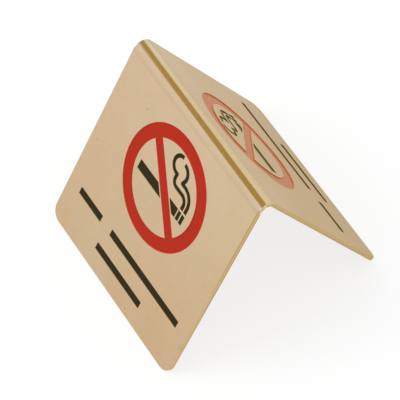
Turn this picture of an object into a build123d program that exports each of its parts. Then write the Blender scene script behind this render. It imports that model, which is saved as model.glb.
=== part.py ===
from build123d import *
from math import copysign, cos, degrees, isclose, radians, sin, sqrt, tan
import os

# A small table sign: one brass blank folded into a tent that stands on the ends of its leaves.
# Both outer faces are etched with the same picture, and the etched hollows hold enamel.
# Frame: the ridge runs along X, the front leaf faces -Y and the sheet stands on z = 0.

# Folded sheet
sheet_width = 52.0          # along the ridge
leaf_length = 54.9          # down an outer face, from the line where the two faces would meet
sheet_thickness = 1.0
opening_angle = 61.0        # between the leaves
inside_bend_radius = 1.4
foot_corner_radius = 3.2
edge_break = 0.15           # width of the flat filed along every cut edge, across each face

# Etching and enamel
etch_depth = 0.28
enamel_floor = 0.1          # thickness on the floor of a hollow
enamel_wall = 0.07          # thickness up the walls of a hollow
enamel_drop = 0.03          # from the face of the sheet down to the rim of the enamel

# Ring and slash
ring_diameter = 28.9
ring_band = 3.4
slash_width = 2.65
slash_angle = 45.0          # falls from upper left to lower right

# Figure in the ring, on a drawing grid with eleven squares from the centre to the ring
ring_opening_radius = ring_diameter / 2 - ring_band
grid = ring_opening_radius / 11
stroke = 1.03 * grid
stroke_gap = 0.32 * grid    # between the two embers, the two rises of smoke and the slash
cigarette_height = 2.5 * grid
cigarette_drop = 1.5 * grid         # from the ring's centre down to the cigarette's axis
mouth_clearance = 1.15 * grid       # from the ring to the nearest corner at that end
tip_clearance = 1.6 * grid
smoke_lift = 0.5 * grid             # from the cigarette up to the start of the smoke
smoke_clearance = 0.36 * grid       # from the top of the smoke to the ring
neck_offset = 1.5 * grid            # from the ring's centre across to the inner stroke's neck
neck_bend_radius = 1.45 * grid
inner_run_height = 3.1 * grid       # above the ring's centre
inner_bend_radius = 1.75 * grid
inner_cloud_offset = 1.2 * grid
inner_cloud_radius = 2.2 * grid
notch_offset = 4.05 * grid
outer_run_height = 5.1 * grid
outer_bend_radius = 3.35 * grid
outer_cloud_offset = 2.3 * grid
outer_cloud_height = 6.8 * grid
outer_cloud_radius = 2.25 * grid
outer_cloud_foot_angle = -25.0

# Two rows of plain bars below the ring
bar_height = 1.9
row_margin = 4.6            # from the upper row to the sheet's sides
short_bar_length = 9.6
bar_gap = 4.2
lower_bar_length = 19.2

# Layout down a leaf: the length that ring and rows leave free is shared out between them
share_above_ring = 0.175
share_below_ring = 0.32
share_between_rows = 0.23

# The picture as a whole lies a little to the reader's right of each leaf's middle
front_shift = 0.2
back_shift = 0.45

half_angle = radians(opening_angle / 2)
bend_tangent = (inside_bend_radius + sheet_thickness) / tan(half_angle)
free_length = leaf_length - bend_tangent - ring_diameter - 2 * bar_height
ring_drop = bend_tangent + share_above_ring * free_length + ring_diameter / 2
upper_row_drop = ring_drop + (ring_diameter + bar_height) / 2 + share_below_ring * free_length
lower_row_drop = upper_row_drop + bar_height + share_between_rows * free_length

# Height of the line where the outer faces would meet: each foot stands on the lower edge of the
# flat filed along its inner side
foot_thickness = sheet_thickness - edge_break
apex_height = leaf_length * cos(half_angle) + foot_thickness * sin(half_angle)

# Faces of the leaves, each from the point of that line above the middle of its picture: x to the
# reader's right, y up the leaf and z out of the sheet
front_face = Plane(
    origin=(front_shift, 0, apex_height),
    x_dir=(1, 0, 0),
    z_dir=(0, -cos(half_angle), sin(half_angle)),
)
back_face = Plane(
    origin=(-back_shift, 0, apex_height),
    x_dir=(-1, 0, 0),
    z_dir=(0, cos(half_angle), sin(half_angle)),
)
faces = {"front": front_face, "back": back_face}


def on_ridge_plane(vertex):
    """Whether a corner of the section lies midway between the leaves."""
    return isclose(vertex.X, 0, abs_tol=1e-6)


def bent_blank():
    """Constant section of the folded sheet, drawn out along the ridge."""
    foot_y = leaf_length * sin(half_angle)
    foot_z = apex_height - leaf_length * cos(half_angle)
    inner_foot_y = foot_y - sheet_thickness * cos(half_angle)
    inner_foot_z = foot_z - sheet_thickness * sin(half_angle)
    outline = Polyline(
        (-foot_y, foot_z),
        (0, apex_height),
        (foot_y, foot_z),
        (inner_foot_y, inner_foot_z),
        (0, apex_height - sheet_thickness / sin(half_angle)),
        (-inner_foot_y, inner_foot_z),
        close=True,
    )
    section = make_face(outline)
    for radius in (inside_bend_radius + sheet_thickness, inside_bend_radius):
        apex = section.vertices().filter_by(on_ridge_plane).sort_by(Axis.Y)[-1]
        section = fillet(apex, radius)
    return extrude(Plane.YZ * section, amount=sheet_width / 2, both=True)


def across_sheet(edge):
    """Whether an edge runs through the thickness of the sheet."""
    return isclose(edge.length, sheet_thickness, abs_tol=1e-6)


def plain_sheet():
    """The folded sheet with its foot corners rounded and all its cut edges broken."""
    sheet = bent_blank()
    sheet = fillet(sheet.edges().filter_by(across_sheet), foot_corner_radius)
    bend_lines = sheet.edges().filter_by(Axis.X).sort_by(Axis.Z)[4:]
    rim = sheet.edges() - bend_lines - sheet.edges().filter_by(across_sheet)
    return chamfer(rim, edge_break)


def ring_and_slash(inset=0.0):
    """Prohibition ring crossed by its slash, with its outline moved in by inset."""
    opening = Circle(ring_opening_radius + inset)
    slash = Rot(0, 0, -slash_angle) * Rectangle(ring_diameter, slash_width - 2 * inset)
    return Circle(ring_diameter / 2 - inset) - (opening - slash)


def cigarette_ends():
    """Places of the mouth end and the glowing tip, measured across from the ring's centre."""
    lowest = cigarette_drop + cigarette_height / 2
    mouth_end = -sqrt((ring_opening_radius - mouth_clearance) ** 2 - lowest**2)
    tip = sqrt((ring_opening_radius - tip_clearance) ** 2 - lowest**2)
    return mouth_end, tip


def block(left, right, inset):
    """Upright-sided piece of the cigarette between two places along it."""
    return Pos((left + right) / 2, -cigarette_drop) * Rectangle(
        right - left - 2 * inset, cigarette_height - 2 * inset
    )


def cigarette(inset=0.0):
    """Cigarette broken by the slash, with two embers at its tip."""
    mouth_end, tip = cigarette_ends()
    step = stroke + stroke_gap
    slash_path = Rot(0, 0, -slash_angle) * Rectangle(
        ring_diameter, slash_width + 2 * stroke_gap + 2 * inset
    )
    paper = block(mouth_end, tip - 2 * step, inset) - slash_path
    return paper + [block(tip - n * step - stroke, tip - n * step, inset) for n in (0, 1)]


def stroke_along(lines, corners, inset):
    """One stroke of smoke, as wide all along, with a round joint at each of its corners."""
    width = stroke - 2 * inset
    pieces = [trace(line, width) for line in lines]
    joints = [Pos(corner) * Circle(width / 2) for corner in corners]
    return Sketch() + pieces + joints


def smoke_start(inset):
    """Height above the ring's centre at which both strokes of smoke start."""
    return cigarette_height / 2 - cigarette_drop + smoke_lift + inset


def cloud_arc(centre, radius, foot_angle, turn, inset):
    """Round side of the cloud, from its foot to just short of its top."""
    return CenterArc(centre, radius, foot_angle, turn - copysign(degrees(inset / radius), turn))


def inner_smoke(inset):
    """Stroke from the inner ember: a low run, a neck and the left side of the cloud."""
    rise = cigarette_ends()[1] - 1.5 * stroke - stroke_gap
    cloud_top = sqrt((ring_opening_radius - smoke_clearance) ** 2 - inner_cloud_offset**2) - stroke / 2
    neck_top = Vector(neck_offset, cloud_top - 2 * inner_cloud_radius)
    lower_part = FilletPolyline(
        (rise, smoke_start(inset)),
        (rise, inner_run_height),
        (neck_offset, inner_run_height),
        neck_top,
        radius=[inner_bend_radius, neck_bend_radius],
    )
    centre = (inner_cloud_offset, cloud_top - inner_cloud_radius)
    cloud = cloud_arc(centre, inner_cloud_radius, -90, -180, inset)
    return stroke_along([lower_part, Line(neck_top, cloud @ 0), cloud], [neck_top], inset)


def outer_smoke(inset):
    """Stroke from the outer ember: a high run, a notch and the right side of the cloud."""
    rise = cigarette_ends()[1] - 0.5 * stroke
    notch = Vector(notch_offset, outer_run_height)
    lower_part = FilletPolyline(
        (rise, smoke_start(inset)), (rise, outer_run_height), notch, radius=[outer_bend_radius]
    )
    centre = (outer_cloud_offset, outer_cloud_height)
    turn = 90 - outer_cloud_foot_angle
    cloud = cloud_arc(centre, outer_cloud_radius, outer_cloud_foot_angle, turn, inset)
    return stroke_along([lower_part, Line(notch, cloud @ 0), cloud], [notch, cloud @ 0], inset)


def bar(left, length, drop, inset):
    """One plain bar, placed by its left end and its distance down the leaf."""
    return Pos(left + length / 2, -drop) * Rectangle(length - 2 * inset, bar_height - 2 * inset)


def caption_bars(inset=0.0):
    """Short and long bar side by side, with a centred bar below them."""
    row_start = row_margin - sheet_width / 2
    long_start = row_start + short_bar_length + bar_gap
    long_bar_length = sheet_width / 2 - row_margin - long_start
    return Sketch() + [
        bar(row_start, short_bar_length, upper_row_drop, inset),
        bar(long_start, long_bar_length, upper_row_drop, inset),
        bar(-lower_bar_length / 2, lower_bar_length, lower_row_drop, inset),
    ]


def red_field(inset=0.0):
    """Everything on a leaf that is filled red."""
    return Pos(0, -ring_drop) * ring_and_slash(inset)


def black_figure(inset=0.0):
    """Cigarette and smoke, at their place on a leaf."""
    return Pos(0, -ring_drop) * (cigarette(inset) + inner_smoke(inset) + outer_smoke(inset))


def enamel(face, field):
    """Enamel in the hollows of one field: a floor with a thin wall up to its rim."""
    floor_plane = face.offset(-etch_depth)
    filled = extrude(floor_plane * field(), amount=etch_depth - enamel_drop)
    hollow = extrude(floor_plane.offset(enamel_floor) * field(enamel_wall), amount=etch_depth)
    return filled - hollow


def hollows(face, field):
    """What etching removes from one leaf for one field."""
    return extrude(face * field(), amount=-etch_depth)


def etched_sheet(fields):
    """The folded sheet with every field etched into both of its outer faces."""
    sheet = plain_sheet()
    for face in faces.values():
        for field in fields:
            sheet = sheet - hollows(face, field)
    return sheet


fields = {"red_ring": red_field, "black_figure": black_figure, "black_bars": caption_bars}
nodes = {"folded_sheet": etched_sheet(fields.values())}
for side, face in faces.items():
    for name, field in fields.items():
        nodes[f"{side}_{name}"] = enamel(face, field)

os.makedirs("parts", exist_ok=True)
for name, node in nodes.items():
    export_step(node, f"parts/{name}.step")
    print(name, len(node.solids()), round(node.volume, 3))
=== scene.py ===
from math import cos, pi, radians, sin, tan
from typing import NamedTuple

import bmesh
import bpy
from bpy.props import FloatProperty, FloatVectorProperty, IntProperty, PointerProperty
from bpy.types import Operator, Panel, PropertyGroup
from mathutils import Matrix, Vector


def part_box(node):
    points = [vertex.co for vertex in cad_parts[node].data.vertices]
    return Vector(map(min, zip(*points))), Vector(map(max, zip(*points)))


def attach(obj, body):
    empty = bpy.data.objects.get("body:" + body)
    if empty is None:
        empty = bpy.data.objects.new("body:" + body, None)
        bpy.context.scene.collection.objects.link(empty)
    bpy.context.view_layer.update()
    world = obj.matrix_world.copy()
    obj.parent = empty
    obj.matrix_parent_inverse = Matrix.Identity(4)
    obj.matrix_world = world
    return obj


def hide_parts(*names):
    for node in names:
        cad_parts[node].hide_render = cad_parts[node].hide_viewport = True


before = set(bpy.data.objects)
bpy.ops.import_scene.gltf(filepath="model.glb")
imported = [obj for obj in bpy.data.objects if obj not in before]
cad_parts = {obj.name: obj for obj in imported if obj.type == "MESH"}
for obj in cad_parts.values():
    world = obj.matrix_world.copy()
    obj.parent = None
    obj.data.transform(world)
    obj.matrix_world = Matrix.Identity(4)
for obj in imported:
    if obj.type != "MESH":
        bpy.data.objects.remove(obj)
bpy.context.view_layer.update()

# A small table sign: one brass blank folded into a tent, with an etched and enamelled picture on
# both of its outer faces. The ridge runs along X and the front leaf faces -Y.

bl_info = {
    "name": "Folded Brass Table Sign",
    "version": (1, 0, 0),
    "blender": (4, 5, 0),
    "location": "3D View > Sidebar > Sign",
    "description": "Models, finishes and lights a folded brass table sign round its packed solids",
    "category": "Add Mesh",
}

mm = 0.001
white = (1.0, 1.0, 1.0, 1.0)
sheet_low, sheet_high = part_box("folded_sheet")

red_nodes = ("front_red_ring", "back_red_ring")
black_nodes = (
    "front_black_figure",
    "back_black_figure",
    "front_black_bars",
    "back_black_bars",
)


# Sizes and colours

def length(name, description, default, lowest=0.0):
    """Setting for a length."""
    return FloatProperty(
        name=name,
        description=description,
        default=default,
        min=lowest,
        precision=6,
        subtype="DISTANCE",
    )


def angle(name, description, default):
    """Setting for an angle."""
    return FloatProperty(name=name, description=description, default=default, subtype="ANGLE")


def swatch(name, description, default):
    """Setting for a colour."""
    return FloatVectorProperty(
        name=name, description=description, default=default, min=0.0, max=1.0, subtype="COLOR"
    )


class SheetSizes(PropertyGroup):
    """Sizes of the folded sheet that its box doesn't give."""

    thickness: length("Thickness", "Thickness of the brass sheet", 1.0 * mm, 0.2 * mm)
    opening_angle: angle("Opening Angle", "Angle between the two leaves", radians(61))
    inside_bend_radius: length(
        "Inside Bend Radius", "Radius of the fold on its inner side", 1.4 * mm, 0.1 * mm
    )
    foot_corner_radius: length(
        "Foot Corner Radius",
        "Radius of the four corners that the sign stands on",
        3.2 * mm,
        0.1 * mm,
    )
    edge_break: length("Edge Break", "Width of the flat filed along every cut edge", 0.15 * mm)
    filed_edge_round: length(
        "Filed Edge Round", "Width of the soft corner on each side of a filed flat", 0.04 * mm
    )
    etch_depth: length("Etch Depth", "Depth of the etched hollows", 0.28 * mm)
    bend_steps: IntProperty(
        name="Bend Steps",
        description="Number of strips that the fold is divided into",
        default=36,
        min=4,
    )
    corner_steps: IntProperty(
        name="Corner Steps",
        description="Number of strips round a foot corner",
        default=16,
        min=2,
    )


class EnamelSizes(PropertyGroup):
    """Fine shape of the enamel in its hollows."""

    floor_thickness: length(
        "Floor Thickness", "Thickness of the enamel on the floor of a hollow", 0.1 * mm
    )
    meniscus: length(
        "Meniscus", "Width over which the enamel curves up to the wall of its hollow", 0.05 * mm
    )
    meniscus_steps: IntProperty(
        name="Meniscus Steps",
        description="Number of strips across the curve",
        default=3,
        min=1,
    )


class SignColours(PropertyGroup):
    """Colours of the brass and of the two enamels."""

    brass: swatch("Brass", "Lacquered brass near the fold", (0.655, 0.500, 0.332))
    low_brass: swatch("Low Brass", "Warmer brass towards the feet", (0.630, 0.450, 0.278))
    cut_brass: swatch("Cut Brass", "Sheared and filed edges", (0.600, 0.438, 0.222))
    # Painted dark reflection: the brown line along the filed corners
    dark_edge_reflection: swatch(
        "Edge Line",
        "Brown line that lacquer and dirt leave along a filed corner",
        (0.51, 0.31, 0.11),
    )
    # Painted highlight: two glints on the filed corner at each end of the fold
    painted_glint: swatch(
        "Rubbed Brass", "Spots rubbed bright at each end of the fold", (0.88, 0.79, 0.58)
    )
    speck: swatch("Speck", "Small dark specks in the lacquer", (0.30, 0.17, 0.07))
    red: swatch("Red Enamel", "Enamel of the ring and its slash", (0.538, 0.0370, 0.0195))
    # Painted sheen: the paler red of the enamel at a low angle, also its red where its coat on a
    # wall is thinner
    thin_red_and_sheen: swatch(
        "Thin Red Enamel",
        "Red enamel at a low angle, where the brass shines through it",
        (0.800, 0.285, 0.105),
    )
    black: swatch("Black Enamel", "Enamel of the figure and the bars", (0.045, 0.0345, 0.0155))
    # Painted sheen: the paler black of the enamel at a low angle, also its black where its coat on a
    # wall is thinner
    thin_black_and_sheen: swatch(
        "Thin Black Enamel",
        "Black enamel at a low angle, where the brass shines through it",
        (0.235, 0.172, 0.022),
    )


class FinishSettings(PropertyGroup):
    """Grain, patches, gloss and painted reflection lines of the brass and the enamels."""

    brass_roughness: FloatProperty(
        name="Brass Roughness",
        description="Roughness of the polished brass where its grain is finest",
        default=0.14,
        min=0.0,
        max=1.0,
    )
    enamel_roughness: FloatProperty(
        name="Enamel Roughness",
        description="Roughness of the enamel where it has flowed most level",
        default=0.16,
        min=0.0,
        max=1.0,
    )
    enamel_ior: FloatProperty(
        name="Enamel IOR",
        description="Refractive index of the enamel, low because old enamel has a dull skin",
        default=1.05,
        min=1.0,
    )
    grazing_tint: swatch(
        "Grazing Tint",
        "What the brass keeps of a reflection seen at a low angle",
        (0.80, 0.71, 0.555),
    )
    grain_size: FloatProperty(
        name="Grain Size",
        description="Size of the fine grain of the brass, in millimetres",
        default=0.22,
    )
    patch_size: FloatProperty(
        name="Patch Size",
        description="Size of the wide patches in the lacquer, in millimetres",
        default=14.0,
    )
    press_line_width: FloatProperty(
        name="Press Line Width",
        description="Width of the line that the bending tool left on the front leaf, in millimetres",
        default=1.0,
    )
    # Width of the painted dark reflection along a filed corner
    dark_edge_reflection_width: FloatProperty(
        name="Edge Line Width",
        description="Width of the brown line along a filed corner, in millimetres",
        default=0.44,
    )


class StudioSettings(PropertyGroup):
    """Camera, lamps and floor."""

    azimuth: angle(
        "Azimuth",
        "Direction of the camera round the sign, from the front towards +X",
        radians(63.57),
    )
    elevation: angle("Elevation", "Height of the camera above the horizon", radians(55.81))
    roll: angle("Roll", "Turn of the camera about its line of sight", radians(-5.557))
    distance: length("Distance", "From the camera to the point that it looks at", 0.533932)
    lens: FloatProperty(
        name="Focal Length",
        description="Focal length in millimetres on a 36 mm wide sensor",
        default=225.914,
    )
    aim: FloatVectorProperty(
        name="Aim",
        description="Point that the camera looks at",
        default=(12.419 * mm, -8.606 * mm, 37.579 * mm),
        precision=5,
        subtype="XYZ_LENGTH",
    )
    floor_size: length("Floor Size", "Length of a side of the floor", 4.0)
    floor_shade: FloatProperty(
        name="Floor Shade",
        description="Share of the floor's brightness that shadows can take away",
        default=0.24,
        min=0.0,
        max=1.0,
        subtype="FACTOR",
    )
    room_light: FloatProperty(
        name="Room Light",
        description="Strength of the even light from all sides",
        default=0.75,
    )
    key_power: FloatProperty(
        name="Key Power",
        description="Power of the large soft lamp over the front left, in watts",
        default=2.2,
        subtype="POWER",
    )
    key_size: length("Key Size", "Diameter of that lamp", 0.5)
    key_place: FloatVectorProperty(
        name="Key Place",
        description="Place of that lamp, which points at the middle of the feet",
        default=(-0.25, -0.45, 0.65),
        subtype="XYZ_LENGTH",
    )


class SignSettings(PropertyGroup):
    """All settings of the sign."""

    sheet: PointerProperty(type=SheetSizes)
    enamel: PointerProperty(type=EnamelSizes)
    colours: PointerProperty(type=SignColours)
    finishes: PointerProperty(type=FinishSettings)
    studio: PointerProperty(type=StudioSettings)


class Fold:
    """Lines and directions of the folded sheet, from its sizes and the solid's box."""

    def __init__(self, sizes):
        self.half_angle = sizes.opening_angle / 2
        self.outer_radius = sizes.inside_bend_radius + sizes.thickness
        self.leaf_length = sheet_high.y / sin(self.half_angle) + sizes.edge_break
        self.width = sheet_high.x - sheet_low.x
        foot_thickness = sizes.thickness - sizes.edge_break
        self.apex_height = (
            self.leaf_length * cos(self.half_angle) + foot_thickness * sin(self.half_angle)
        )
        self.bend_tangent = self.outer_radius / tan(self.half_angle)
        self.bend_height = self.apex_height - self.outer_radius / sin(self.half_angle)
        self.flat_length = self.leaf_length - self.bend_tangent

    def down(self, side):
        """Direction down a leaf; side is -1 on the front and 1 on the back."""
        return Vector((0, side * sin(self.half_angle), -cos(self.half_angle)))

    def outward(self, side):
        """Direction out of a leaf's outer face."""
        return Vector((0, side * cos(self.half_angle), sin(self.half_angle)))


# Working in edit mode

# Corners this close count as one, and heights this close as level
same_corner = 0.001 * mm
same_height = 0.01 * mm

# Cosine above which a face counts as flat in its leaf
straight = 0.99

# Turn of the surface at an edge: too small to see, sharp, at a cut corner and at a filed one
flat_turn = radians(0.5)
sharp_turn = radians(40)
cut_turns = (radians(60), radians(120))
filed_turns = (radians(30), radians(60))


def start_clean():
    """Leave edit mode and deselect everything."""
    if bpy.context.mode != "OBJECT":
        bpy.ops.object.mode_set(mode="OBJECT")
    bpy.ops.object.select_all(action="DESELECT")


def make_active(piece):
    """Select one piece alone and make it the active one."""
    start_clean()
    piece.select_set(True)
    bpy.context.view_layer.objects.active = piece


def edit(piece, mode):
    """Open a piece in edit mode with nothing selected."""
    make_active(piece)
    bpy.ops.object.mode_set(mode="EDIT")
    bpy.ops.mesh.select_mode(type=mode)
    bpy.ops.mesh.select_all(action="DESELECT")


def choose(kind, test):
    """Select the vertices, edges or faces of the edited mesh that pass a test."""
    mesh = bmesh.from_edit_mesh(bpy.context.object.data)
    for part in getattr(mesh, kind):
        part.select_set(bool(test(part)))
    mesh.select_flush_mode()
    bmesh.update_edit_mesh(bpy.context.object.data)


def apply_modifier(piece, kind, **settings):
    """Add a modifier to a piece, set it and apply it."""
    make_active(piece)
    bpy.ops.object.modifier_add(type=kind)
    modifier = piece.modifiers[-1]
    for name, value in settings.items():
        setattr(modifier, name, value)
    bpy.ops.object.modifier_apply(modifier=modifier.name)


def smooth_surface(piece):
    """Smooth the gentle turns of a piece and keep its flats flat."""
    make_active(piece)
    bpy.ops.object.shade_smooth()
    edit(piece, "EDGE")
    choose("edges", lambda edge: edge.calc_face_angle(0) > sharp_turn)
    bpy.ops.mesh.mark_sharp()
    bpy.ops.object.mode_set(mode="OBJECT")
    apply_modifier(piece, "WEIGHTED_NORMAL", mode="FACE_AREA", weight=100, keep_sharp=True)


def check_closed(piece):
    """Stop with an error if a piece isn't one closed surface or surfaces."""
    mesh = bmesh.new()
    mesh.from_mesh(piece.data)
    open_edges = [edge for edge in mesh.edges if len(edge.link_faces) != 2]
    volume = mesh.calc_volume(signed=True)
    mesh.free()
    if open_edges or volume <= 0:
        raise RuntimeError(f"{piece.name}: {len(open_edges)} open edges, volume {volume}")


def merged_copy(node_name, name):
    """Copy a solid's loose triangles into a new piece with shared corners."""
    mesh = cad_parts[node_name].data.copy()
    mesh.name = name
    mesh.materials.clear()
    piece = bpy.data.objects.new(name, mesh)
    bpy.context.scene.collection.objects.link(piece)
    edit(piece, "VERT")
    bpy.ops.mesh.select_all(action="SELECT")
    bpy.ops.mesh.remove_doubles(threshold=same_corner / 2)
    bpy.ops.object.mode_set(mode="OBJECT")
    return piece


# Folded sheet

def folded_face(fold, sizes):
    """Outer face of the blank: one leaf, spun over the ridge and drawn out into the other."""
    start_clean()
    middle = Vector((0, 0, fold.apex_height))
    middle += fold.down(-1) * (fold.bend_tangent + fold.flat_length / 2)
    bpy.ops.mesh.primitive_plane_add(size=1, location=middle)
    face = bpy.context.object
    face.name = "brass_sheet"
    face.data.name = "brass_sheet"
    face.scale = (fold.width, fold.flat_length, 1)
    face.rotation_euler = (pi / 2 - fold.half_angle, 0, 0)
    bpy.ops.object.transform_apply(location=True, rotation=True, scale=True)

    edit(face, "EDGE")
    top = max(vertex.co.z for vertex in face.data.vertices)
    choose("edges", lambda edge: all(vertex.co.z > top - same_height for vertex in edge.verts))
    bpy.ops.mesh.spin(
        steps=sizes.bend_steps,
        angle=pi - 2 * fold.half_angle,
        center=(0, 0, fold.bend_height),
        axis=(1, 0, 0),
    )
    bpy.ops.mesh.extrude_region_move(
        TRANSFORM_OT_translate={"value": fold.down(1) * fold.flat_length}
    )
    bpy.ops.mesh.select_all(action="SELECT")
    bpy.ops.mesh.remove_doubles(threshold=same_corner)
    bpy.ops.mesh.normals_make_consistent(inside=False)
    bpy.ops.object.mode_set(mode="OBJECT")
    return face


def round_feet(face, sizes):
    """Round the four corners that the sign stands on."""
    edit(face, "VERT")
    foot = min(vertex.co.z for vertex in face.data.vertices)
    choose("verts", lambda vertex: vertex.co.z < foot + same_height)
    bpy.ops.mesh.bevel(
        offset=sizes.foot_corner_radius,
        segments=sizes.corner_steps,
        profile=0.5,
        affect="VERTICES",
    )
    bpy.ops.object.mode_set(mode="OBJECT")


def break_edges(sheet, sizes):
    """File a flat along every cut edge and soften its two corners."""
    for width, steps, (low, high) in (
        (sizes.edge_break, 1, cut_turns),
        (sizes.filed_edge_round, 2, filed_turns),
    ):
        edit(sheet, "EDGE")
        choose("edges", lambda edge: low < edge.calc_face_angle(0) < high)
        bpy.ops.mesh.bevel(offset=width, segments=steps, profile=0.5, affect="EDGES")
        bpy.ops.object.mode_set(mode="OBJECT")


def hollow_cutter(node_name, side, fold, sizes):
    """Solid that removes one hollow: the underside of its enamel, drawn out past the face."""
    cutter = merged_copy(node_name, "cutter")
    outward = fold.outward(side)
    edit(cutter, "FACE")
    choose("faces", lambda face: face.normal.dot(outward) > -straight)
    bpy.ops.mesh.delete(type="FACE")
    bpy.ops.mesh.select_all(action="SELECT")
    bpy.ops.mesh.dissolve_limited(angle_limit=flat_turn)
    bpy.ops.mesh.select_all(action="SELECT")
    bpy.ops.mesh.extrude_region_move(
        TRANSFORM_OT_translate={"value": outward * (2 * sizes.etch_depth)}
    )
    bpy.ops.mesh.select_all(action="SELECT")
    bpy.ops.mesh.normals_make_consistent(inside=False)
    bpy.ops.object.mode_set(mode="OBJECT")
    check_closed(cutter)
    return cutter


def etch(sheet, cutter):
    """Take one cutter out of the sheet."""
    apply_modifier(sheet, "BOOLEAN", operation="DIFFERENCE", solver="EXACT", object=cutter)
    bpy.data.objects.remove(cutter)


def drop_slivers(sheet):
    """Merge the corners that cutting has left too close together."""
    edit(sheet, "VERT")
    bpy.ops.mesh.select_all(action="SELECT")
    bpy.ops.mesh.dissolve_degenerate(threshold=same_corner)
    bpy.ops.object.mode_set(mode="OBJECT")


class FoldSheet(Operator):
    """Model the folded brass sheet with its etched hollows"""

    bl_idname = "table_sign.fold_sheet"
    bl_label = "Fold Sheet"

    def execute(self, context):
        settings = context.scene.table_sign
        sizes = settings.sheet
        fold = Fold(sizes)
        sheet = folded_face(fold, sizes)
        round_feet(sheet, sizes)
        apply_modifier(
            sheet, "SOLIDIFY", thickness=sizes.thickness, offset=-1, use_even_offset=True
        )
        break_edges(sheet, sizes)
        for node_name in red_nodes + black_nodes:
            side = -1 if node_name.startswith("front") else 1
            etch(sheet, hollow_cutter(node_name, side, fold, sizes))
        drop_slivers(sheet)
        check_closed(sheet)
        smooth_surface(sheet)
        sheet.data.materials.append(
            lacquered_brass(fold, sizes, settings.colours, settings.finishes)
        )
        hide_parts("folded_sheet")
        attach(sheet, "root")
        return {"FINISHED"}


# Enamel

def is_floor_border(edge, outward):
    """Whether an edge lies in the valley between the enamel's floor and its raised border."""
    if len(edge.link_faces) != 2 or edge.is_convex:
        return False
    return any(face.normal.dot(outward) > straight for face in edge.link_faces)


def enamel_fill(node_name, name, side, fold, sizes):
    """Enamel of one field, with a curved meniscus where it meets the wall of its hollow."""
    fill = merged_copy(node_name, name)
    outward = fold.outward(side)
    edit(fill, "FACE")
    bpy.ops.mesh.select_all(action="SELECT")
    bpy.ops.mesh.dissolve_limited(angle_limit=flat_turn)
    bpy.ops.object.mode_set(mode="OBJECT")
    edit(fill, "EDGE")
    choose("edges", lambda edge: is_floor_border(edge, outward))
    bpy.ops.mesh.bevel(
        offset=sizes.meniscus, segments=sizes.meniscus_steps, profile=0.5, affect="EDGES"
    )
    bpy.ops.object.mode_set(mode="OBJECT")
    check_closed(fill)
    smooth_surface(fill)
    return fill


class FillEnamel(Operator):
    """Model the enamel in the hollows of both leaves"""

    bl_idname = "table_sign.fill_enamel"
    bl_label = "Fill Enamel"

    def execute(self, context):
        settings = context.scene.table_sign
        fold = Fold(settings.sheet)
        colours = settings.colours
        fields = (
            (red_nodes, "red_enamel", "Red enamel", colours.red, colours.thin_red_and_sheen),
            (black_nodes, "black_enamel", "Black enamel", colours.black, colours.thin_black_and_sheen),
        )
        for node_names, slot, name, tint, thin_and_sheen_tint in fields:
            finish = enamel(name, tint, thin_and_sheen_tint, fold, settings)
            for node_name in node_names:
                side = -1 if node_name.startswith("front") else 1
                fill = enamel_fill(node_name, node_name + "_fill", side, fold, settings.enamel)
                fill.data.materials.append(finish)
                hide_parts(node_name)
                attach(fill, "root")
        return {"FINISHED"}


# Node trees

def feed(tree, socket, value):
    """Give a socket a value or a link."""
    if isinstance(value, bpy.types.NodeSocket):
        tree.links.new(value, socket)
    else:
        socket.default_value = value


def maths(tree, operation, *values):
    """Result of one arithmetic step."""
    node = tree.nodes.new("ShaderNodeMath")
    node.operation = operation
    for socket, value in zip(node.inputs, values):
        feed(tree, socket, value)
    return node.outputs[0]


def product(tree, first, *others):
    """Several values multiplied together, such as masks that must all be set."""
    for other in others:
        first = maths(tree, "MULTIPLY", first, other)
    return first


def distance(tree, first, second):
    """Length of a step made of two steps at right angles."""
    squares = maths(tree, "ADD", product(tree, first, first), product(tree, second, second))
    return maths(tree, "SQRT", squares)


def fade(tree, value, start, end, low=0.0, high=1.0):
    """Value that goes smoothly from low to high while another goes up or down from start to end."""
    node = tree.nodes.new("ShaderNodeMapRange")
    node.interpolation_type = "SMOOTHSTEP"
    for name, given in (
        ("Value", value),
        ("From Min", start),
        ("From Max", end),
        ("To Min", low),
        ("To Max", high),
    ):
        feed(tree, node.inputs[name], given)
    return node.outputs["Result"]


def blend(tree, amount, first, second, mode="MIX"):
    """Mix of two colours, which are sockets 6 and 7 of the node, with their mix as output 2."""
    node = tree.nodes.new("ShaderNodeMix")
    node.data_type = "RGBA"
    node.blend_type = mode
    feed(tree, node.inputs[0], amount)
    feed(tree, node.inputs[6], first)
    feed(tree, node.inputs[7], second)
    return node.outputs[2]


def colour(values):
    """Colour with full alpha."""
    return (*values, 1.0)


def millimetres(tree, offset=(0.0, 0.0, 0.0)):
    """Place on the object in millimetres, moved by an offset."""
    place = tree.nodes.new("ShaderNodeTexCoord")
    scale = tree.nodes.new("ShaderNodeMapping")
    scale.inputs["Scale"].default_value = (1 / mm, 1 / mm, 1 / mm)
    scale.inputs["Location"].default_value = offset
    tree.links.new(place.outputs["Object"], scale.inputs["Vector"])
    return scale.outputs["Vector"]


def in_steps(tree, place, size):
    """A place measured in steps of a given size."""
    node = tree.nodes.new("ShaderNodeVectorMath")
    node.operation = "DIVIDE"
    feed(tree, node.inputs[0], place)
    feed(tree, node.inputs[1], size)
    return node.outputs[0]


def noise(tree, place, size, detail, roughness):
    """Soft noise from nought to one, with patches about as wide as size."""
    node = tree.nodes.new("ShaderNodeTexNoise")
    tree.links.new(in_steps(tree, place, size), node.inputs["Vector"])
    node.inputs["Scale"].default_value = 1.0
    node.inputs["Detail"].default_value = detail
    node.inputs["Roughness"].default_value = roughness
    return node.outputs["Fac"]


# Shared effects

# Stretches of a noise that are spread out from nought to one: most of it, or its middle alone
soft_noise = (0.3, 0.7)
clear_noise = (0.35, 0.65)

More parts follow.
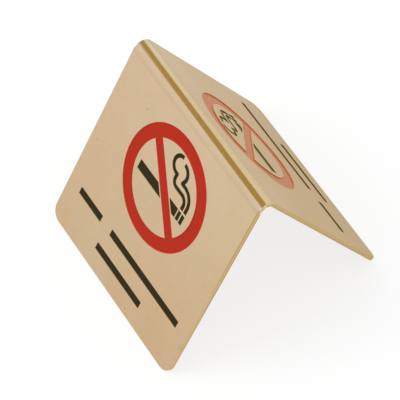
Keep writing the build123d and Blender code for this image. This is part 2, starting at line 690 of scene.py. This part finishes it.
# Detail and roughness of the noise for fine grain and for wide patches
grain_detail = (3.0, 0.6)
patch_detail = (3.0, 0.55)

# Share of a speck, a mark or a line that is full, before it fades out at its border
full_speck = 0.4
full_mark = 0.3
full_line = 0.7

# How many times narrower the outer line is on the cut face than on the leaf's outer face
line_narrowing = 5.0


def new_group(name, inputs, outputs):
    """Empty node group with its start and end. An input without a default is a place."""
    group = bpy.data.node_groups.new(name, "ShaderNodeTree")
    for label, default in inputs.items():
        kind = "NodeSocketVector" if default is None else "NodeSocketFloat"
        socket = group.interface.new_socket(label, in_out="INPUT", socket_type=kind)
        if default is not None:
            socket.default_value = default
    for label in outputs:
        group.interface.new_socket(label, in_out="OUTPUT", socket_type="NodeSocketFloat")
    start = group.nodes.new("NodeGroupInput")
    end = group.nodes.new("NodeGroupOutput")
    return group, start.outputs, end.inputs


def use_group(tree, group, **values):
    """Place a node group in a tree and feed its inputs."""
    node = tree.nodes.new("ShaderNodeGroup")
    node.node_tree = group
    for name, value in values.items():
        feed(tree, node.inputs[name.replace("_", " ")], value)
    return node.outputs


def fine_grain_group():
    """Small uneven grain of a polished or flowed surface."""
    group, given, result = new_group("Fine grain", {"Place": None, "Size": 0.3}, ["Height"])
    height = noise(group, given["Place"], given["Size"], *grain_detail)
    group.links.new(height, result["Height"])
    return group


def clouding_group():
    """Wide soft patches, as on lacquer that has aged unevenly."""
    group, given, result = new_group("Clouding", {"Place": None, "Size": 10.0}, ["Patches"])
    patches = noise(group, given["Place"], given["Size"], *patch_detail)
    group.links.new(fade(group, patches, *clear_noise), result["Patches"])
    return group


def specks_group():
    """Sparse small round specks."""
    group, given, result = new_group(
        "Specks", {"Place": None, "Spacing": 4.0, "Radius": 0.05, "Share": 0.3}, ["Mask"]
    )
    cells = group.nodes.new("ShaderNodeTexVoronoi")
    cells.inputs["Scale"].default_value = 1.0
    spaced = in_steps(group, given["Place"], given["Spacing"])
    group.links.new(spaced, cells.inputs["Vector"])
    reach = maths(group, "DIVIDE", given["Radius"], given["Spacing"])
    dot = fade(group, cells.outputs["Distance"], reach, product(group, reach, full_speck))
    chance = group.nodes.new("ShaderNodeSeparateColor")
    group.links.new(cells.outputs["Color"], chance.inputs[0])
    kept = maths(group, "LESS_THAN", chance.outputs[0], given["Share"])
    group.links.new(product(group, dot, kept), result["Mask"])
    return group


def place_on_sheet_group(fold, sizes):
    """Where a point lies on a leaf: across, down from the ridge, in from the cut edge and deep."""
    group, given, result = new_group(
        "Place on sheet",
        {"Place": None},
        ["Across", "Down", "From Cut Edge", "Depth", "Backways", "Front"],
    )
    split = group.nodes.new("ShaderNodeSeparateXYZ")
    group.links.new(given["Place"], split.inputs[0])
    sideways = split.outputs["X"]
    backways = split.outputs["Y"]
    from_ridge = maths(group, "ABSOLUTE", backways)
    below = maths(group, "SUBTRACT", fold.apex_height / mm, split.outputs["Z"])
    down = maths(group, "DIVIDE", below, cos(fold.half_angle))

    corner = sizes.foot_corner_radius / mm
    from_middle = maths(group, "ABSOLUTE", sideways)
    past_side = maths(group, "SUBTRACT", from_middle, fold.width / 2 / mm - corner)
    past_foot = maths(group, "SUBTRACT", down, fold.leaf_length / mm - corner)
    past = distance(
        group, maths(group, "MAXIMUM", past_side, 0.0), maths(group, "MAXIMUM", past_foot, 0.0)
    )

    flat_depth = maths(
        group,
        "SUBTRACT",
        product(group, below, sin(fold.half_angle)),
        product(group, from_ridge, cos(fold.half_angle)),
    )
    above_bend = maths(group, "SUBTRACT", split.outputs["Z"], fold.bend_height / mm)
    bend_depth = maths(
        group, "SUBTRACT", fold.outer_radius / mm, distance(group, from_ridge, above_bend)
    )
    bend_side = product(group, from_ridge, tan(fold.half_angle))
    in_bend = maths(group, "GREATER_THAN", above_bend, bend_side)
    in_flat = maths(group, "SUBTRACT", 1.0, in_bend)
    depth = maths(
        group, "ADD", product(group, in_bend, bend_depth), product(group, in_flat, flat_depth)
    )

    group.links.new(sideways, result["Across"])
    group.links.new(down, result["Down"])
    group.links.new(maths(group, "SUBTRACT", corner, past), result["From Cut Edge"])
    group.links.new(depth, result["Depth"])
    group.links.new(backways, result["Backways"])
    group.links.new(maths(group, "LESS_THAN", backways, 0.0), result["Front"])
    return group


def edge_reflection_group(sizes):
    """Narrow lines along the outer and the inner corner of the cut face, where dark reflection and
    glints are painted.
    """
    group, given, result = new_group(
        "Edge wear",
        {"From Cut Edge": 1.0, "Depth": 0.0, "Width": 0.2},
        ["Outer Line", "Inner Line"],
    )
    inset = given["From Cut Edge"]
    outer = maths(group, "MAXIMUM", inset, product(group, given["Depth"], line_narrowing))
    inner_corner = (sizes.thickness - sizes.edge_break) / mm
    height = maths(group, "SUBTRACT", inner_corner, given["Depth"])
    inner = maths(group, "MAXIMUM", inset, height)
    core = product(group, given["Width"], full_line)
    for name, reach in (("Outer Line", outer), ("Inner Line", inner)):
        group.links.new(fade(group, reach, given["Width"], core), result[name])
    return group


def mark_group():
    """One soft-edged round mark at a place on a leaf."""
    group, given, result = new_group(
        "Mark",
        {"Across": 0.0, "Down": 0.0, "Centre Across": 0.0, "Centre Down": 0.0, "Radius": 0.3},
        ["Mask"],
    )
    reach = distance(
        group,
        maths(group, "SUBTRACT", given["Across"], given["Centre Across"]),
        maths(group, "SUBTRACT", given["Down"], given["Centre Down"]),
    )
    core = product(group, given["Radius"], full_mark)
    group.links.new(fade(group, reach, given["Radius"], core), result["Mask"])
    return group


class Coat:
    """A material in the making: its shader, the place on the sheet and the base colour so far."""

    def __init__(self, name, fold, sizes):
        self.material = bpy.data.materials.new(name)
        self.material.use_nodes = True
        self.tree = self.material.node_tree
        self.tree.nodes.clear()
        self.shader = self.tree.nodes.new("ShaderNodeBsdfPrincipled")
        output = self.tree.nodes.new("ShaderNodeOutputMaterial")
        self.tree.links.new(self.shader.outputs["BSDF"], output.inputs["Surface"])
        self.place = millimetres(self.tree)
        self.sheet = self.pattern("Place on sheet", lambda: place_on_sheet_group(fold, sizes))
        self.front = self.sheet["Front"]
        self.back = maths(self.tree, "SUBTRACT", 1.0, self.front)
        self.base = None

    def pattern(self, name, make, **values):
        """Outputs of an effect that is made once and shared by the coats."""
        group = bpy.data.node_groups.get(name) or make()
        values.setdefault("Place", self.place)
        return use_group(self.tree, group, **values)

    def across(self, start, end, low=0.0):
        """Mask that goes from low to one between two places across the sheet."""
        return fade(self.tree, self.sheet["Across"], start, end, low)

    def down(self, start, end, low=0.0):
        """Mask that goes from low to one between two distances down from the ridge line."""
        return fade(self.tree, self.sheet["Down"], start, end, low)

    def tint(self, tint, *masks):
        """Multiply the base colour by a tint where all of some masks are set."""
        amount = product(self.tree, *masks)
        self.base = blend(self.tree, amount, self.base, colour(tint), "MULTIPLY")

    def cover(self, cover, *masks):
        """Lay a colour over the base colour where all of some masks are set."""
        self.base = blend(self.tree, product(self.tree, *masks), self.base, colour(cover))

    def finish(self, roughness, height, depth):
        """Connect the coat, whose surface is tilted by a pattern of a depth in millimetres."""
        bump = self.tree.nodes.new("ShaderNodeBump")
        bump.inputs["Strength"].default_value = 1.0
        bump.inputs["Distance"].default_value = depth * mm
        self.tree.links.new(height, bump.inputs["Height"])
        self.tree.links.new(self.base, self.shader.inputs["Base Color"])
        self.tree.links.new(roughness, self.shader.inputs["Roughness"])
        self.tree.links.new(bump.outputs["Normal"], self.shader.inputs["Normal"])


# Lacquered brass. Places are in millimetres, and a tint is a factor of red, green and blue.

class Tone(NamedTuple):
    """Soft change of tone on one leaf, with where it comes in and is full, down it and across it.

    A third number says how much of it there is where it comes in.
    """

    leaf: str
    tint: tuple
    down: tuple = ()
    across: tuple = ()


# Stretch down a leaf over which the brass turns into the warmer one, and patches of the lacquer
warming = (8.0, 54.0)
rosy_patch = (1.0, 0.975, 0.965)
greenish_patch = (0.975, 0.985, 0.955)
greenish_patch_share = 0.6

# Move of a second pattern, so that it doesn't follow the first one
second_pattern = (40.0, 11.0, 5.0)

# Grain of the polished metal, which shows more on the back leaf
grain_tint = (0.76, 0.74, 0.70)
grain_contrast = 0.12
more_on_back = 0.20
grain_depth = 0.004
grain_roughness = 0.05
coarse_grain_tint = (0.98, 0.976, 0.97)
coarse_noise = (0.4, 0.7)
times_coarser = 4

# Down from the ridge line: the back leaf is paler on one side and darker towards its foot, and
# the front leaf is paler at its left foot and yellower on its right side
leaf_tones = (
    Tone("back", (0.975, 0.975, 1.04)),
    Tone("back", (0.95, 0.92, 0.80), down=(8.0, 20.0)),
    Tone("back", (1.035, 1.085, 1.20), across=(-4.0, -22.0)),
    Tone("back", (0.955, 0.952, 0.91), down=(15.0, 40.0), across=(-4.0, -22.0)),
    Tone("back", (0.94, 0.96, 0.92), down=(36.0, 52.0)),
    Tone("front", (1.0, 1.055, 1.085), down=(30.0, 48.0), across=(14.0, -12.0)),
    Tone("front", (0.975, 0.99, 0.95), down=(45.0, 25.0, 0.3), across=(6.0, 24.0)),
)

# Down from the end of the bend: the fold is burnished by the bending tool, which takes a share
# of its roughness away, and its lighter bands are painted highlights beside the reflected dark beam
burnished_and_highlit = (0.0, -0.5)
burnish = 0.55
fold_highlights = (
    Tone("front", (1.075, 1.08, 1.12), down=(0.0, -0.9)),
    Tone("back", (1.02, 1.045, 1.03), down=burnished_and_highlit),
    Tone("back", (1.10, 1.108, 0.98), down=(-0.55, -1.3)),
)

# Line that the tool pressed into the front leaf, painted as a darker reflection, down from the end
# of the bend: where it ends, where its upper fade is full, its lower fade and the painted highlight
# of the fine ridge below it
press_line_end = 0.7
pressed_full = 0.3
press_line_foot = (0.85, 0.65)
pressed_reflection_tint = (0.955, 0.945, 0.957)
ridge_place = 0.95
ridge_border = (0.16, 0.05)
ridge_highlight_tint = (1.02, 1.025, 1.03)

# Cut faces, in from the cut edge
cut_border = (0.12, 0.02)
back_cut_tint = (0.95, 0.92, 0.94)

# Where the brown lines of painted dark reflection show: the outer one high up a leaf, both of them
# off the bend, on the right and high up, and less on the back leaf
outer_line_down = (32.0, 18.0, 0.1)
lines_off_bend = (-0.8, 0.0)
lines_across = (0.0, 10.0, 0.15)
lines_down = (52.0, 25.0, 0.35)
lines_lost_on_back = 0.65
line_strength = 0.9

# Two glints painted as highlights at each end of the fold: how far their middle lies in front of the
# crest, and where they start and stop on each side of it
glints_in_front = 0.9
glints_start = (0.22, 0.36)
glints_stop = (0.92, 0.78)
glint_strength = 0.8

# Specks in millimetres, with the share of places that have one, and how much of a speck shows
brass_specks = {"Spacing": 7.0, "Radius": 0.14, "Share": 0.25}
speck_strength = 0.5

# Marks on the front leaf: across, down from the ridge line, radius, strength
front_marks = (
    (-14.3, 11.7, 0.28, 0.9),
    (-14.8, 6.9, 0.35, 0.25),
    (-15.2, 8.8, 0.30, 0.2),
    (-17.6, 12.2, 0.35, 0.25),
    (-23.6, 29.4, 0.40, 0.5),
    (25.3, 49.6, 0.32, 0.55),
    (6.5, 53.3, 0.35, 0.8),
    (14.0, 48.5, 0.35, 0.35),
    (13.1, 53.5, 0.30, 0.4),
    (21.8, 52.2, 0.30, 0.4),
    (25.5, 46.1, 1.10, 0.2),
)
mark_tint = (0.76, 0.56, 0.34)

# Warm patch at the left foot corner: across, down from the ridge line, radius
warm_patch = (-22.8, 53.2, 4.5)
warm_patch_tint = (1.015, 0.962, 0.925)


def lay_lacquer(brass, colours, finishes):
    """Lacquer that is warmer towards the feet and clouded in wide patches."""
    tree = brass.tree
    warm = colour(colours.low_brass)
    brass.base = blend(tree, brass.down(*warming), colour(colours.brass), warm)
    wide = finishes.patch_size
    rosy = brass.pattern("Clouding", clouding_group, Size=wide)["Patches"]
    brass.tint(rosy_patch, rosy)
    less = greenish_patch_share * wide
    moved = millimetres(tree, second_pattern)
    greenish = brass.pattern("Clouding", clouding_group, Place=moved, Size=less)["Patches"]
    brass.tint(greenish_patch, greenish)


def lay_grain(brass, finishes):
    """Fine and coarse grain of the polished metal; gives back the fine one."""
    tree = brass.tree
    size = finishes.grain_size
    grain = brass.pattern("Fine grain", fine_grain_group, Size=size)["Height"]
    contrast = maths(tree, "MULTIPLY_ADD", brass.back, more_on_back, grain_contrast)
    brass.tint(grain_tint, fade(tree, grain, *clear_noise), contrast)
    moved = millimetres(tree, second_pattern)
    wide = times_coarser * size
    coarse = brass.pattern("Fine grain", fine_grain_group, Place=moved, Size=wide)["Height"]
    brass.tint(coarse_grain_tint, fade(tree, coarse, *coarse_noise))
    return grain


def lay_tones(brass, tones, origin=0.0):
    """Tint the leaves with soft tones, whose places down a leaf are given from an origin."""
    for tone in tones:
        masks = [brass.front if tone.leaf == "front" else brass.back]
        if tone.down:
            start, end, *low = tone.down
            masks.append(brass.down(origin + start, origin + end, *low))
        if tone.across:
            masks.append(brass.across(*tone.across))
        brass.tint(tone.tint, *masks)


def painted_press_line(brass, bend_end, width):
    """Line that the bending tool left on the front leaf, painted as a darker reflection, with a
    painted highlight along the fine ridge below it.
    """
    tree = brass.tree
    top = brass.down(bend_end + press_line_end - width, bend_end + pressed_full)
    foot_start, foot_end = press_line_foot
    foot = brass.down(bend_end + foot_start, bend_end + foot_end)
    brass.tint(pressed_reflection_tint, top, foot, brass.front)
    off_ridge = maths(tree, "SUBTRACT", brass.sheet["Down"], bend_end + ridge_place)
    ridge = fade(tree, maths(tree, "ABSOLUTE", off_ridge), *ridge_border)
    brass.tint(ridge_highlight_tint, ridge, brass.front)


def finish_cut_edges(brass, bend_end, sizes, colours, finishes):
    """Cut faces, with a brown line painted along both of their filed corners as their dark
    reflection, and painted glints at the ends of the fold.
    """
    tree = brass.tree
    inset = brass.sheet["From Cut Edge"]
    cut = fade(tree, inset, *cut_border)
    brass.cover(colours.cut_brass, cut)
    brass.tint(back_cut_tint, cut, brass.back)

    depth = brass.sheet["Depth"]
    width = finishes.dark_edge_reflection_width
    corner_line_masks = use_group(
        tree, edge_reflection_group(sizes), From_Cut_Edge=inset, Depth=depth, Width=width
    )
    outer_line = product(tree, corner_line_masks["Outer Line"], brass.down(*outer_line_down))
    lines = maths(tree, "MAXIMUM", outer_line, corner_line_masks["Inner Line"])
    less_on_back = maths(tree, "MULTIPLY_ADD", brass.back, -lines_lost_on_back, 1.0)
    bend_start, bend_stop = lines_off_bend
    line_reach = product(
        tree,
        brass.down(bend_end + bend_start, bend_end + bend_stop),
        brass.across(*lines_across),
        brass.down(*lines_down),
    )
    # Painted dark reflection: brown lines along the filed corners
    brass.cover(colours.dark_edge_reflection, lines, less_on_back, line_reach, line_strength)

    # Painted highlight: two glints on the filed corners at each end of the fold
    filed_corners = maths(tree, "MAXIMUM", corner_line_masks["Outer Line"], corner_line_masks["Inner Line"])
    off_glints = maths(tree, "ADD", brass.sheet["Backways"], glints_in_front)
    off_glints = maths(tree, "ABSOLUTE", off_glints)
    start = fade(tree, off_glints, *glints_start)
    stop = fade(tree, off_glints, *glints_stop)
    brass.cover(colours.painted_glint, start, stop, filed_corners, glint_strength)


def mark_on_front(brass, group, across, down, radius):
    """Mask of one mark on the front leaf."""
    mark = use_group(
        brass.tree,
        group,
        Across=brass.sheet["Across"],
        Down=brass.sheet["Down"],
        Centre_Across=across,
        Centre_Down=down,
        Radius=radius,
    )
    return product(brass.tree, mark["Mask"], brass.front)


def mark_surface(brass, colours):
    """Specks all over, and the larger marks of the front leaf."""
    specks = brass.pattern("Specks", specks_group, **brass_specks)
    brass.cover(colours.speck, specks["Mask"], speck_strength)
    group = mark_group()
    for *place, strength in front_marks:
        brass.tint(mark_tint, mark_on_front(brass, group, *place), strength)
    brass.tint(warm_patch_tint, mark_on_front(brass, group, *warm_patch))


def lacquered_brass(fold, sizes, colours, finishes):
    """Polished brass under old lacquer, with the stains and specks of a used sign."""
    brass = Coat("Lacquered brass", fold, sizes)
    tree = brass.tree
    bend_end = fold.bend_tangent / mm
    lay_lacquer(brass, colours, finishes)
    grain = lay_grain(brass, finishes)
    lay_tones(brass, leaf_tones)
    # Painted highlights: lighter bands on the fold
    lay_tones(brass, fold_highlights, bend_end)
    painted_press_line(brass, bend_end, finishes.press_line_width)
    finish_cut_edges(brass, bend_end, sizes, colours, finishes)
    mark_surface(brass, colours)

    smooth = finishes.brass_roughness
    rough = fade(tree, grain, *soft_noise, smooth, smooth + grain_roughness)
    start, end = burnished_and_highlit
    on_bend = brass.down(bend_end + start, bend_end + end)
    kept = maths(tree, "MULTIPLY_ADD", on_bend, -burnish, 1.0)
    brass.shader.inputs["Metallic"].default_value = 1.0
    brass.shader.inputs["Specular Tint"].default_value = colour(finishes.grazing_tint)
    brass.finish(product(tree, rough, kept), grain, grain_depth)
    return brass.material


# Enamels

# How far from face on the paler colour of the enamel is painted on as sheen, and where it is full
sheen_view = (0.40, 0.78)

# How thin it looks on a wall, and the height over which that fades out at the wall's foot
thin_wall = {"Red enamel": 0.3, "Black enamel": 0.5}
wall_fade = 0.06

# Ripples of the fired surface, in millimetres, and the dust on it
ripple_size = 0.5
ripple_depth = 0.003
ripple_roughness = 0.08
ripple_tint = (0.964, 0.955, 0.946)
dust = (0.6, 0.5, 0.4)
dust_specks = {"Spacing": 2.5, "Radius": 0.06, "Share": 0.2}
dust_strength = 0.15


def enamel(name, tint, thin_and_sheen_tint, fold, settings):
    """Enamel that has flowed level in its hollow, paler where its coat on a wall is thinner, with a
    paler colour painted on at a low angle as sheen.
    """
    coat = Coat(name, fold, settings.sheet)
    tree = coat.tree
    # Painted sheen: the enamel turns to its paler colour at a low angle
    facing = tree.nodes.new("ShaderNodeLayerWeight").outputs["Facing"]
    painted_sheen = fade(tree, facing, *sheen_view)
    wall_foot = (settings.sheet.etch_depth - settings.enamel.floor_thickness) / mm
    wall_top = wall_foot - wall_fade
    on_wall = fade(tree, coat.sheet["Depth"], wall_foot, wall_top, 0.0, thin_wall[name])
    thin_and_sheen = maths(tree, "MAXIMUM", painted_sheen, on_wall)
    coat.base = blend(tree, thin_and_sheen, colour(tint), colour(thin_and_sheen_tint))

    ripple = coat.pattern("Fine grain", fine_grain_group, Size=ripple_size)["Height"]
    coat.tint(ripple_tint, fade(tree, ripple, *soft_noise))
    specks = coat.pattern("Specks", specks_group, **dust_specks)
    coat.cover(dust, specks["Mask"], dust_strength)
    smooth = settings.finishes.enamel_roughness
    rough = fade(tree, ripple, *soft_noise, smooth, smooth + ripple_roughness)
    coat.shader.inputs["IOR"].default_value = settings.finishes.enamel_ior
    coat.finish(rough, ripple, ripple_depth)
    return coat.material


# Stage

# Light that leaves the floor in all, just past white
floor_white = 1.02

# Dark beam in the ceiling, seen only in reflections. Its borders are given as steps sideways or
# backwards for each step up, first where the beam comes in and then where it is full.
beam_colour = (0.55, 0.425, 0.14)
beam_left = (-0.706, -0.698)
beam_left_stops = (-0.1, 0.1)
beam_far = (1.2, 1.1)
beam_right = (-0.635, -0.655)
beam_right_slant = 1.70

# Smallest step up, so that nothing is divided by nought
lowest_up = 0.001


def seen_directly(tree):
    """One for rays that show the surface itself or its reflection, and nought for lighting rays."""
    rays = tree.nodes.new("ShaderNodeLightPath")
    seen = maths(tree, "MAXIMUM", rays.outputs["Is Camera Ray"], rays.outputs["Is Glossy Ray"])
    return maths(tree, "MAXIMUM", seen, rays.outputs["Is Transmission Ray"])


def floor_finish(studio):
    """Pale matt floor that shows white and keeps a light shadow."""
    material = bpy.data.materials.new("Pale floor")
    material.use_nodes = True
    tree = material.node_tree
    tree.nodes.clear()
    shade = studio.floor_shade
    matt = tree.nodes.new("ShaderNodeBsdfDiffuse")
    matt.inputs["Color"].default_value = (shade, shade, shade, 1.0)
    glow = tree.nodes.new("ShaderNodeEmission")
    glow.inputs["Color"].default_value = white
    strength = product(tree, seen_directly(tree), floor_white - shade)
    tree.links.new(strength, glow.inputs["Strength"])
    both = tree.nodes.new("ShaderNodeAddShader")
    tree.links.new(matt.outputs[0], both.inputs[0])
    tree.links.new(glow.outputs[0], both.inputs[1])
    output = tree.nodes.new("ShaderNodeOutputMaterial")
    tree.links.new(both.outputs[0], output.inputs["Surface"])
    return material


def lay_floor(studio):
    """Wide flat floor under the feet."""
    start_clean()
    bpy.ops.mesh.primitive_plane_add(size=studio.floor_size, location=(0, 0, 0))
    floor = bpy.context.object
    floor.name = "pale_floor"
    floor.data.materials.append(floor_finish(studio))


def beam_in_ceiling(tree):
    """Where the dark beam lies, for a direction out of the room's middle."""
    direction = tree.nodes.new("ShaderNodeTexCoord")
    split = tree.nodes.new("ShaderNodeSeparateXYZ")
    tree.links.new(direction.outputs["Generated"], split.inputs[0])
    up = maths(tree, "MAXIMUM", split.outputs["Z"], lowest_up)
    sideways = maths(tree, "DIVIDE", split.outputs["X"], up)
    backways = maths(tree, "DIVIDE", split.outputs["Y"], up)
    left = maths(
        tree,
        "MAXIMUM",
        fade(tree, sideways, *beam_left),
        fade(tree, backways, *beam_left_stops),
    )
    slanted = maths(tree, "ADD", backways, product(tree, sideways, beam_right_slant))
    right = fade(tree, slanted, *beam_right)
    return product(tree, left, right, fade(tree, backways, *beam_far))


def background(tree, tint, strength=1.0):
    """Light from all sides, of a colour or a pattern."""
    node = tree.nodes.new("ShaderNodeBackground")
    feed(tree, node.inputs["Color"], tint)
    feed(tree, node.inputs["Strength"], strength)
    return node.outputs[0]


def mix_light(tree, amount, first, second):
    """Mix of two lights."""
    node = tree.nodes.new("ShaderNodeMixShader")
    for socket, value in zip(node.inputs, (amount, first, second)):
        feed(tree, socket, value)
    return node.outputs[0]


def light_room(studio):
    """Even white room whose ceiling has one dark beam over the ridge."""
    world = bpy.data.worlds.new("Studio room")
    bpy.context.scene.world = world
    world.use_nodes = True
    tree = world.node_tree
    tree.nodes.clear()
    rays = tree.nodes.new("ShaderNodeLightPath").outputs
    room = background(tree, white, studio.room_light)
    ceiling = blend(tree, beam_in_ceiling(tree), white, colour(beam_colour))
    light = mix_light(tree, rays["Is Glossy Ray"], room, background(tree, ceiling))
    seen = maths(tree, "MAXIMUM", rays["Is Camera Ray"], rays["Is Transmission Ray"])
    output = tree.nodes.new("ShaderNodeOutputWorld")
    shown = mix_light(tree, seen, light, background(tree, white))
    tree.links.new(shown, output.inputs["Surface"])


def hang_lamp(studio):
    """Large soft lamp over the front left of the sign."""
    place = Vector(studio.key_place)
    aim = (-place).to_track_quat("-Z", "Y").to_euler()
    bpy.ops.object.light_add(type="AREA", location=place, rotation=aim)
    lamp = bpy.context.object
    lamp.name = "key_lamp"
    lamp.data.shape = "DISK"
    lamp.data.size = studio.key_size
    lamp.data.energy = studio.key_power
    lamp.visible_glossy = False


def set_camera(studio):
    """Camera at the photograph's angle."""
    turn = (
        Matrix.Rotation(studio.azimuth, 4, "Z")
        @ Matrix.Rotation(pi / 2 - studio.elevation, 4, "X")
        @ Matrix.Rotation(studio.roll, 4, "Z")
    )
    place = Vector(studio.aim) + turn.to_3x3() @ Vector((0, 0, studio.distance))
    bpy.ops.object.camera_add(location=place, rotation=turn.to_euler())
    camera = bpy.context.object
    camera.name = "camera"
    camera.data.sensor_width = 36
    camera.data.lens = studio.lens
    camera.data.clip_start = 0.01
    camera.data.clip_end = 20
    bpy.context.scene.camera = camera


class SetStage(Operator):
    """Lay the floor, light the sign and place the camera"""

    bl_idname = "table_sign.set_stage"
    bl_label = "Set Stage"

    def execute(self, context):
        studio = context.scene.table_sign.studio
        lay_floor(studio)
        light_room(studio)
        hang_lamp(studio)
        set_camera(studio)
        context.scene.view_settings.view_transform = "Standard"
        return {"FINISHED"}


class SignPanel(Panel):
    """Steps that build the sign, with its sizes and colours"""

    bl_idname = "VIEW3D_PT_table_sign"
    bl_label = "Table Sign"
    bl_space_type = "VIEW_3D"
    bl_region_type = "UI"
    bl_category = "Sign"

    def draw(self, context):
        settings = context.scene.table_sign
        for group, operator in (
            (settings.sheet, FoldSheet),
            (settings.enamel, FillEnamel),
            (settings.colours, None),
            (settings.finishes, None),
            (settings.studio, SetStage),
        ):
            box = self.layout.box()
            for name in group.__annotations__:
                box.prop(group, name)
            if operator:
                box.operator(operator.bl_idname)


classes = (
    SheetSizes,
    EnamelSizes,
    SignColours,
    FinishSettings,
    StudioSettings,
    SignSettings,
    FoldSheet,
    FillEnamel,
    SetStage,
    SignPanel,
)


def register():
    """Add the sign's classes and settings to Blender."""
    for entry in classes:
        bpy.utils.register_class(entry)
    bpy.types.Scene.table_sign = PointerProperty(type=SignSettings)


def unregister():
    """Take the sign's classes and settings out of Blender."""
    del bpy.types.Scene.table_sign
    for entry in reversed(classes):
        bpy.utils.unregister_class(entry)


def main():
    """Build the sign."""
    register()
    bpy.ops.table_sign.fold_sheet()
    bpy.ops.table_sign.fill_enamel()
    bpy.ops.table_sign.set_stage()


if __name__ == "__main__":
    main()
